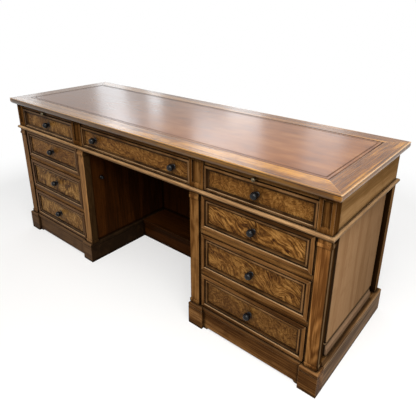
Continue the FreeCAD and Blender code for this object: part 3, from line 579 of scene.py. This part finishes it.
# Painted shade on the upward faces of the boards.
ledge_shade = times(facing_up(finish), 0.5)
shade = most(shade, times(groove, 0.85), ledge_shade, dark_streaks)
lightened = most(lightened, times(highlight_line, 0.5), pale_streaks)
dress(stained_wood(finish, mitred(finish, "plinth_boards"), PLINTH_WOOD, shine=0.01, glaze_and_shade=shade, pale=lightened,
                   greyed=greyed), "plinth_boards")

# %% [markdown]
# The pilasters are the show pieces of the front, sawn flat so that their golden faces have arched grain.
# Both edges are darker, and shade is painted on the faces that look into the kneehole and towards the
# floor.
# The right inner one is darker, the left inner one paler, and the far left one has the grey glare of the
# windows painted on it. Four finishes would repeat nearly everything, so one finish asks how far a spot
# lies from each pilaster's centre line.

# %% Pilasters
GOLDEN_WOOD = (tint(100, 62, 29), tint(150, 101, 53), tint(182, 130, 74))
PILASTER_WIDTH = 0.044
PILASTER_FLARE = 0.003
KNEEHOLE_HALF = 0.333
PILASTER_REACH = 0.06
LOW_SHADE = (0.33, 0.12)
STRIPE_SETBACK = 0.014
STRIPE_HALF = 0.008


def painted_glare_side(finish, share, start=0.45, end=-0.5):
    """Grows to a share from start to end, towards the left, where the grey glare of the windows is painted.
    """
    return times(fade(finish.x, start, end), share)


finish = Finish("pilaster_wood")
pilasters_low, pilasters_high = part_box("pilasters")
outer_middle = pilasters_high.x - PILASTER_FLARE - PILASTER_WIDTH / 2
inner_middle = KNEEHOLE_HALF + PILASTER_WIDTH / 2
mirrored = maths("ABSOLUTE", finish.x)
off_centre = maths("MINIMUM", away(mirrored, outer_middle), away(mirrored, inner_middle))
edge_darkening = times(fade(off_centre, PILASTER_WIDTH * 0.44, PILASTER_WIDTH * 0.5), 0.85)
# Painted shade towards the floor.
low_shade = times(fade(finish.z, *LOW_SHADE), 0.3)
# Painted shade on the faces that look into the kneehole.
kneehole_face = times(kneehole_shade(finish, depth=0.005), 0.93)
right_inner = times(stripe(finish.x, inner_middle, PILASTER_REACH), 0.4)
left_inner = times(stripe(finish.x, -inner_middle, PILASTER_REACH), 0.2)
outer_side = fade(mirrored, outer_middle + PILASTER_WIDTH * 0.48, outer_middle + PILASTER_WIDTH * 0.5)
side_stripe = stripe(finish.y, pilasters_low.y + PILASTER_FLARE + STRIPE_SETBACK, STRIPE_HALF)
shading = most(edge_darkening, low_shade, kneehole_face, right_inner)
lightened = most(times(times(outer_side, side_stripe), 0.28), times(left_inner, opposite(kneehole_face)))
# Painted grey glare of the windows on the far left pilaster.
dress(stained_wood(finish, "z", GOLDEN_WOOD, shine=0.0, glaze_and_shade=shading, pale=lightened,
                   greyed=painted_glare_side(finish, 0.5, -0.8, -0.86), arched=0.15), "pilasters")

# %% [markdown]
# Over each pilaster a block with a sunk panel ends the frieze. The sunk panel is a little darker, with
# glaze and painted shade. The panel's face could have a slot of its own, but its depth behind the block's
# front already tells it apart.

# %% Frieze blocks
SUNK_PANEL_DEPTH = 0.005

finish = Finish("frieze_block_wood")
block_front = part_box("frieze_blocks")[0].y
sunk = fade(finish.y, block_front + SUNK_PANEL_DEPTH * 0.3, block_front + SUNK_PANEL_DEPTH * 0.9)
# A little glaze and painted shade in the sunk panel.
dress(stained_wood(finish, "z", BROWN_WOOD, shine=0.0, glaze_and_shade=times(sunk, 0.15)), "frieze_blocks")

# %% [markdown]
# Each end is a broad raised panel in a deep recess, over a moulded strip. The panel is smooth and tan, with
# shade painted a little darker towards the rear and nearly black in the recess, and the strip is greyer,
# with a dark quirk and a painted highlight line along its top. They are one construction node, so no slots
# part them. The finish tells them apart by height and by how far in from the node's outside they lie.

# %% End panels
TAN_WOOD = (tint(158, 120, 84), tint(172, 133, 95), tint(181, 143, 105))
# Distances behind the panel's face between which the recess begins
RECESS_BEHIND = (0.005, 0.008)
STRIP_TOP = 0.16
STRIP_STEP = 0.003
QUIRK_DROP = 0.001
HIGHLIGHT_LINE_DROP = 0.009
REAR_SHADE = (-0.2, 0.25)

finish = Finish("end_panel_wood")
panel_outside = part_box("pedestal_panels")[1]
inside_ends = fade(inward(finish.x, panel_outside.x), *RECESS_BEHIND)
inside_back = fade(inward(finish.y, panel_outside.y), *RECESS_BEHIND)
# Painted shade, nearly black, in the recess.
recess_shade = times(maths("MINIMUM", inside_ends, inside_back), 0.93)
strip = fade(finish.z, STRIP_TOP, STRIP_TOP - STRIP_STEP)
quirk = stripe(finish.z, STRIP_TOP - QUIRK_DROP, GROOVE_GLAZE_HALF)
# Painted shade, darker towards the rear.
rear_shade = times(fade(finish.y, *REAR_SHADE), 0.3)
# A painted highlight line along the top of the strip.
highlight_line = times(stripe(finish.z, STRIP_TOP - HIGHLIGHT_LINE_DROP, HIGHLIGHT_LINE_HALF), 0.45)
dress(stained_wood(finish, "z", TAN_WOOD, shine=0.0, roughness=0.3, reach=0.01, pale=highlight_line,
                   glaze_and_shade=most(recess_shade, times(strip, 0.15), quirk, rear_shade), greyed=times(strip, 0.6)),
      "pedestal_panels")

# %% [markdown]
# The top's border is golden, with the grey glare of the windows painted on it towards the left, and a
# highlight is painted on its outermost edge beside a thin dark line. The moulded edge below is darker
# brown, more so along the front and back than at the ends. The lines could be cut as shallow grooves, but
# they hardly stand in relief. Here they are colour, by the distance to the edge.

# %% Top border
BORDER_WOOD = (tint(84, 46, 8), tint(138, 87, 22), tint(186, 129, 40))
LIP_WIDTH = 0.0035
LINE_PLACE = 0.009
END_EDGE = (0.03, 0.02)

finish = Finish("border_wood")
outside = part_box("top_border")[1]
from_end = inward(finish.x, outside.x)
to_edge = maths("MINIMUM", from_end, inward(finish.y, outside.y))
line = times(stripe(to_edge, LINE_PLACE, LIP_WIDTH), 0.6)
edge = fade(finish.z, outside.z - LIP_WIDTH, outside.z - LIP_WIDTH * 1.8)
# The moulded edge is darker, more along the front and back than at the ends.
edge_darkening = times(edge, between(fade(from_end, *END_EDGE), 0.6, 0.2))
lip_highlight_share = between(fade(from_end, LIP_WIDTH * 2, LIP_WIDTH), 0.3, 0.9)
# A painted highlight on the outermost edge, strongest at the ends.
lip_highlight = times(fade(to_edge, LIP_WIDTH, LIP_WIDTH * 0.4), lip_highlight_share)
# Painted grey glare of the windows towards the left.
dress(stained_wood(finish, mitred(finish, "top_border"), BORDER_WOOD, shine=0.3, roughness=0.24,
                   glaze_and_shade=most(line, edge_darkening), pale=times(lip_highlight, opposite(edge)),
                   greyed=painted_glare_side(finish, 0.6)), "top_border")

# %% [markdown]
# The drawer fronts are faced with figured veneer: streaks of grain that bend and swirl, nested waves, and
# small curls between them. Each drawer has its own sheet, so no two are alike in figure; each sheet's tone
# is also made darker or lighter to paint how much light falls on that drawer, and three on the left are
# greener and bluer. A picture of veneer would repeat. Here the streaks are noise drawn out along one slant,
# on a place that a slower noise has bent first, and each sheet starts from another part of the noise.

# %% Figure of the veneer
SHEET_STEP = (0.73, 0, 0.41)
BEND = (0.1, 0.1, 0.1)
BENDS_TO_THE_METRE = 9.0
STREAKS = (10, 60, 150)
WAVES = (4, 14, 26)
CURLS = (95, 95, 115)
CLOUDS = (8, 8, 14)


def sheet_place(finish, number):
    """Where a spot lies on a numbered sheet, as it is and bent by slow waves."""
    step = [part * number for part in SHEET_STEP]
    moved = finish.node("ShaderNodeVectorMath", finish.place, step).outputs[0]
    waves = finish.node("ShaderNodeTexNoise", moved)
    waves.inputs["Scale"].default_value = BENDS_TO_THE_METRE
    waves.inputs["Detail"].default_value = 2.0
    shift = waves.outputs["Color"]
    bent = finish.node("ShaderNodeVectorMath", shift, BEND, moved, operation="MULTIPLY_ADD").outputs[0]
    return moved, bent


def veneer_figure(finish, number, slant, streaks):
    """Streaks, waves and curls, summed to a figure from 0 to 1, and the curls alone."""
    moved, bent = sheet_place(finish, number)
    centre, axis = (0, 0, 0), (0, 1, 0)
    turned = finish.node("ShaderNodeVectorRotate", bent, centre, axis, math.radians(slant)).outputs[0]
    fine_lines = noise(turned, STREAKS, detail=4, roughness=0.62, distortion=0.5)
    waves = contours(noise(turned, WAVES, detail=1, distortion=0.6), 9)
    lines = weigh((fine_lines, 0.8), (waves, 0.2))
    curls = noise(bent, CURLS, detail=4, roughness=0.65, distortion=1.0)
    clouds = noise(moved, CLOUDS, detail=2, distortion=0.5)
    return weigh((clouds, 0.25), (curls, 0.75 - streaks), (lines, streaks)), curls


print("streaks", round(1000 / STREAKS[2], 1), "mm wide, curls", round(1000 / CURLS[0], 1), "mm wide")

# %% Veneered drawer fronts
VENEER = (tint(50, 25, 6), tint(112, 73, 31), tint(168, 122, 64))
CURL_DEPTH = 0.0003
VENEER_GLAZE_AND_SHADE_REACH = 0.026
# Slant in degrees, share of streaks, depth of tone, which paints how much light falls on the drawer, and
# how much greener and bluer the sheet is
SHEETS = {
    "right_upper": (-28, 0.5, 1.1, 0.0),
    "right_middle": (-35, 0.42, 0.98, 0.0),
    "right_lower": (-50, 0.2, 0.76, 0.0),
    "left_upper": (20, 0.25, 0.95, 0.0),
    "left_middle": (75, 0.5, 1.15, 0.1),
    "left_lower": (-60, 0.42, 1.2, 0.1),
    "left_frieze": (80, 0.35, 1.0, 0.06),
    "centre_frieze": (-20, 0.3, 1.0, 0.0),
    "right_frieze": (-60, 0.2, 0.96, 0.0),
}


def figured_veneer(name, number, slant, streaks, depth, cooler):
    """One sheet of veneer. Its depth of tone paints how much light falls on it, and a cooler sheet has more
    green and still more blue.
    """
    finish = Finish(name)
    figure, curls = veneer_figure(finish, number, slant, streaks)
    # Painted light: the sheet's tone is scaled by its depth, and a cooler sheet more in green and blue.
    shade = (depth, depth * (1 + cooler), depth * (1 + 2.2 * cooler), 1)
    colour = mix(1.0, tone(figure, VENEER, 0.17 - 0.14 * streaks), shade, "MULTIPLY")
    # Glaze and painted shade on the veneer near its frame.
    finish.give("Base Color", darken_hollows(finish, colour, VENEER_GLAZE_AND_SHADE_REACH, 0.5, 0.95))
    finish.give("Roughness", between(figure, 0.5, 0.3))
    finish.give("Specular IOR Level", 0.05)
    relief(finish, curls, 0.1, CURL_DEPTH)
    return finish


for number, (drawer, sheet) in enumerate(SHEETS.items()):
    dress(figured_veneer(f"{drawer}_drawer_veneer", number, *sheet), f"{drawer}_drawer_front")

# %% [markdown]
# Each drawer front wears a moulding frame, four strips mitred at the corners. Glaze and painted shade lie
# dark in the quirk and along the veneer, and painted shade lies on the lower bead and a little on the upper
# strip. A highlight is painted on the lower strip's upper edge and, in patches, on the crown. One finish
# for all would need each frame's place, so a function makes it for each drawer from the frame's own box, by
# the distance in from the outside.

# %% Drawer mouldings
STRIP_WOOD = (tint(58, 33, 12), tint(98, 64, 31), tint(134, 94, 54))
# Flat outer strip, whole width, and the crown's distance from the outside
PEDESTAL_PROFILE = (0.015, 0.03, 0.0215)
FRIEZE_PROFILE = (0.009, 0.017, 0.0045)
QUIRK_PLACE, QUIRK_HALF = 0.0015, 0.004
CROWN_HALF = 0.0045
VENEER_SIDE = (0.007, 0.002)
TONE_PATCHES = (14, 14, 14)


def moulding_masks(finish, low, high, inset, strip, width, crown_place):
    """Where a frame is darkened by glaze and painted shade, and where a highlight is painted on it, by the
    distance in from its outside and by height.
    """
    bead = fade(inset, strip, strip + SOFT_STEP)
    quirk = stripe(inset, strip + QUIRK_PLACE, QUIRK_HALF)
    last = fade(inset, *(width - distance for distance in VENEER_SIDE))
    top_shade = fade(finish.z, high.z - strip - SOFT_STEP, high.z - strip + STRIP_STEP)
    bottom = fade(finish.z, low.z + width + SOFT_STEP, low.z + width - SOFT_STEP)
    patches = fade(noise(finish.place, TONE_PATCHES, detail=2), 0.35, 0.65)
    # Glaze and painted shade in the quirk and beside the veneer, painted shade on the upper strip and the
    # lower bead.
    glaze_and_shade = most(times(quirk, 0.92), times(last, 0.92), times(top_shade, 0.15), times(times(bead, bottom), 0.6))
    # Painted highlight on the lower strip's upward edge.
    arris_highlight = times(times(facing_up(finish), opposite(bead)), bottom)
    # Painted highlight on the crown, in patches.
    crown_highlight = times(stripe(inset, crown_place, CROWN_HALF), between(patches, 0.02, 0.2))
    return times(glaze_and_shade, between(patches, 1.0, 0.65)), most(times(arris_highlight, 0.7), crown_highlight)


def moulding_wood(drawer, profile):
    """Wood for one frame, whose grain turns at the mitres."""
    finish = Finish(f"{drawer}_moulding_wood")
    low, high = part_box(f"{drawer}_moulding")
    middle = (low + high) / 2
    sideways = inward(finish.x, high.x - middle.x, middle.x)
    upwards = inward(finish.z, high.z - middle.z, middle.z)
    uprights = maths("GREATER_THAN", upwards, sideways)
    grain = choose_place(uprights, along(finish, "x"), along(finish, "z"))
    inset = maths("MINIMUM", sideways, upwards)
    glaze_and_shade, pale = moulding_masks(finish, low, high, inset, *profile)
    # Painted grey glare of the windows on the frames to the left.
    return stained_wood(finish, grain, STRIP_WOOD, reach=0.01, glaze_and_shade=glaze_and_shade, pale=pale, rubbing=0.2,
                        greyed=painted_glare_side(finish, 0.35, -0.35, -0.45))


for drawer in drawers:
    profile = FRIEZE_PROFILE if "frieze" in drawer else PEDESTAL_PROFILE
    dress(moulding_wood(drawer, profile), f"{drawer}_moulding")

# %% [markdown]
# The writing surface is thin leather, let in flush with the border. Years of polish have clouded and
# streaked its colour, a grey glare of the windows is painted on it towards the left, it has a fine pebbled
# grain, and two dark lines are tooled along its edge, the outer one painted darker towards the back as
# shade.
# The lines could be pressed into the mesh, but they are finer than its triangles. Here one mask darkens and
# dulls them and sinks them in the relief.

# %% Leather
LEATHER = (tint(108, 64, 32), tint(134, 84, 44), tint(152, 104, 62))
LEATHER_GLARE = tint(96, 74, 62)
TOOLED = tint(24, 13, 9)
INNER_LINE = 0.016
INNER_LINE_HALF = 0.0045
OUTER_LINE_HALF = 0.008
LEATHER_CLOUDS = (6, 12, 9)
POLISH_STREAKS = (2.5, 50, 9)
PEBBLES_TO_THE_METRE = 650.0
PEBBLE_DEPTH = 0.0004

finish = Finish("tooled_leather")
clouds = noise(finish.place, LEATHER_CLOUDS, detail=2)
streaks = noise(finish.place, POLISH_STREAKS, detail=1)
wear = weigh((clouds, 0.78), (streaks, 0.22))
# Painted grey glare of the windows towards the left.
colour = mix(painted_glare_side(finish, 0.65), tone(wear, LEATHER, 0.22), LEATHER_GLARE)
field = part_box("leather_inset")[1]
to_edge = maths("MINIMUM", inward(finish.x, field.x), inward(finish.y, field.y))
inner_line = times(stripe(to_edge, INNER_LINE, INNER_LINE_HALF), 0.6)
# The outer tooled line is darker towards the back, as painted shade.
outer_share = between(fade(finish.y, 0.0, field.y), 0.65, 0.95)
outer_line = times(stripe(to_edge, 0.0, OUTER_LINE_HALF), outer_share)
tooling = most(inner_line, outer_line)
finish.give("Base Color", mix(tooling, colour, TOOLED))
finish.give("Roughness", most(between(wear, 0.16, 0.28), tooling))
finish.give("Specular IOR Level", 0.22)
pebbles = finish.node("ShaderNodeTexVoronoi", finish.place)
pebbles.inputs["Scale"].default_value = PEBBLES_TO_THE_METRE
relief(finish, maths("MULTIPLY_ADD", tooling, -2.0, pebbles.outputs["Distance"]), 0.03, PEBBLE_DEPTH)
dress(finish, "leather_inset")

# %% [markdown]
# A small dark peg stands on the left side of the kneehole. It is a turned piece. A cylinder could be
# shaped ring by ring, but half its outline, drawn as a few points and spun round its own axis, is quicker
# and rounder.

# %% Peg in the kneehole
PEG_PLACE = Vector((-0.345, -0.187, 0.432))
# Distance out from the board, and radius
PEG_OUTLINE = (
    (0.0, 0.009),
    (0.003, 0.009),
    (0.004, 0.006),
    (0.008, 0.006),
    (0.01, 0.008),
    (0.014, 0.007),
    (0.016, 0.0),
)
PEG_STEPS = 32
SAME_POINT = 0.00001

peg_shape = bmesh.new()
points = [peg_shape.verts.new(PEG_PLACE + Vector((out, 0, radius))) for out, radius in PEG_OUTLINE]
edges = [peg_shape.edges.new(pair) for pair in zip(points, points[1:])]
bmesh.ops.spin(peg_shape, geom=points + edges, cent=PEG_PLACE, axis=(1, 0, 0), angle=math.tau,
               steps=PEG_STEPS, use_merge=True)
bmesh.ops.remove_doubles(peg_shape, verts=peg_shape.verts, dist=SAME_POINT)
bmesh.ops.holes_fill(peg_shape, edges=[edge for edge in peg_shape.edges if edge.is_boundary])
bmesh.ops.recalc_face_normals(peg_shape, faces=peg_shape.faces)
for face in peg_shape.faces:
    face.smooth = True
peg_mesh = bpy.data.meshes.new("kneehole_peg")
peg_shape.to_mesh(peg_mesh)
peg_shape.free()
peg = bpy.data.objects.new("kneehole_peg", peg_mesh)
bpy.context.scene.collection.objects.link(peg)
peg_mesh.materials.append(black_metal.material)
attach(peg, "carcase")
print("peg of", len(peg_mesh.polygons), "faces")

# %% [markdown]
# A pale floor and a white surround show the desk as in a studio. A curved backdrop could do the same.
# Here a flat floor takes the desk's shadow near it and further off turns into the same white as the
# surround, so no edge shows from any side. Both are white to the eye and in reflections, and dimmer where
# they only bounce light, so that the kneehole keeps its deep shade.

# %% Floor
FLOOR_HALF = 12.0
FLOOR_DROP = 0.0005
SHADOW_REACH, WHITE_FROM = 1.0, 2.2
WHITE = (1, 1, 1, 1)
FLOOR_SEEN = (0.92, 0.92, 0.92, 1)
FLOOR_BOUNCE = (0.2, 0.19, 0.18, 1)


def seen_directly(tree):
    """1 for what the eye sees, straight or by way of a shiny or clear surface, and 0 for bounced light."""
    path = add_node(tree, "ShaderNodeLightPath")
    return most(*(path.outputs[f"Is {kind} Ray"] for kind in ("Camera", "Glossy", "Transmission")))


floor_mesh = bpy.data.meshes.new("studio_floor")
floor_shape = bmesh.new()
bmesh.ops.create_grid(floor_shape, x_segments=1, y_segments=1, size=FLOOR_HALF)
floor_shape.to_mesh(floor_mesh)
floor_shape.free()
floor = bpy.data.objects.new("studio_floor", floor_mesh)
floor.location.z = -FLOOR_DROP
bpy.context.scene.collection.objects.link(floor)

pale = Finish("pale_floor")
seen = seen_directly(pale.tree)
near = pale.node("ShaderNodeBsdfDiffuse", mix(seen, FLOOR_BOUNCE, FLOOR_SEEN)).outputs[0]
white = pale.node("ShaderNodeEmission", WHITE).outputs[0]
far_off = pale.node("ShaderNodeVectorMath", pale.place, operation="LENGTH").outputs["Value"]
white_share = times(seen, most(fade(far_off, SHADOW_REACH, WHITE_FROM), 0.5))
ground = pale.node("ShaderNodeMixShader", white_share, near, white).outputs[0]
feed(pale.tree.nodes["Material Output"].inputs["Surface"], ground)
floor_mesh.materials.append(pale.material)
print("floor", FLOOR_HALF * 2, "m wide, white from", WHITE_FROM, "m")

# %% Surround
BOUNCE_LEVEL = 0.34

world = bpy.data.worlds.new("studio_world")
bpy.context.scene.world = world
world.use_nodes = True
sky = world.node_tree.nodes["Background"]
feed(sky.inputs["Color"], WHITE)
feed(sky.inputs["Strength"], between(seen_directly(world.node_tree), BOUNCE_LEVEL, 1.0))
print("surround bounces", BOUNCE_LEVEL, "of its light")

# %% [markdown]
# The light is that of a room: a broad lamp in front, a smaller one over the right end, a soft fill from
# the right for the panelled end, and tall, short and high lamps behind the desk on the left that stand
# for windows and draw streaks on the leather. A picture of a room could light it, but separate lamps can
# be placed so that each streak falls where the photo has it. None of the lamps is itself in view.

# %% Lamps
WARM = (1.0, 0.97, 0.93)
DAYLIGHT = (0.86, 0.94, 1.0)
TOP_CENTRE = (0, 0, 0.76)
# Name, place, width and height, and power in watts
WINDOWS = (
    ("far_window", (-3.15, 2.04, 1.7), (0.36, 1.9), 3.4),
    ("corner_window", (-3.4, 1.0, 1.35), (0.3, 0.4), 1.0),
    ("far_upper_window", (-3.05, 2.12, 2.1), (0.4, 0.7), 2.4),
    ("short_window", (-2.70, 2.36, 1.5), (0.16, 0.75), 0.9),
    ("high_window", (-1.93, 2.54, 2.2), (0.42, 1.0), 4.4),
    ("third_window", (-1.61, 2.80, 1.9), (0.42, 1.9), 5.5),
    ("near_window", (-0.70, 3.12, 2.0), (0.45, 1.9), 3.5),
)
# Name, place, the point that the lamp faces, width and height, and power in watts
ROOM_LAMPS = (
    ("front_lamp", (1.3, -2.4, 3.2), (0, 0, 0.4), (2.4, 1.4), 105),
    ("ceiling_lamp", (1.2, -0.5, 2.7), (0.4, 0, 0.7), (1.4, 1.0), 28),
    ("end_fill", (2.2, -1.3, 1.5), (0.9, 0, 0.4), (1.0, 1.2), 18),
)


def lamp(name, place, target, size, power, colour=WARM):
    """A rectangular area lamp that faces a point and isn't itself seen."""
    data = bpy.data.lights.new(name, "AREA")
    data.shape = "RECTANGLE"
    data.size, data.size_y = size
    data.energy = power
    data.color = colour
    holder = bpy.data.objects.new(name, data)
    holder.location = place
    holder.rotation_euler = (Vector(target) - Vector(place)).to_track_quat("-Z", "Y").to_euler()
    holder.visible_camera = False
    bpy.context.scene.collection.objects.link(holder)
    print(name, power, "W")


for name, place, size, power in WINDOWS:
    lamp(name, place, TOP_CENTRE, size, power, DAYLIGHT)
for room_lamp in ROOM_LAMPS:
    lamp(*room_lamp)
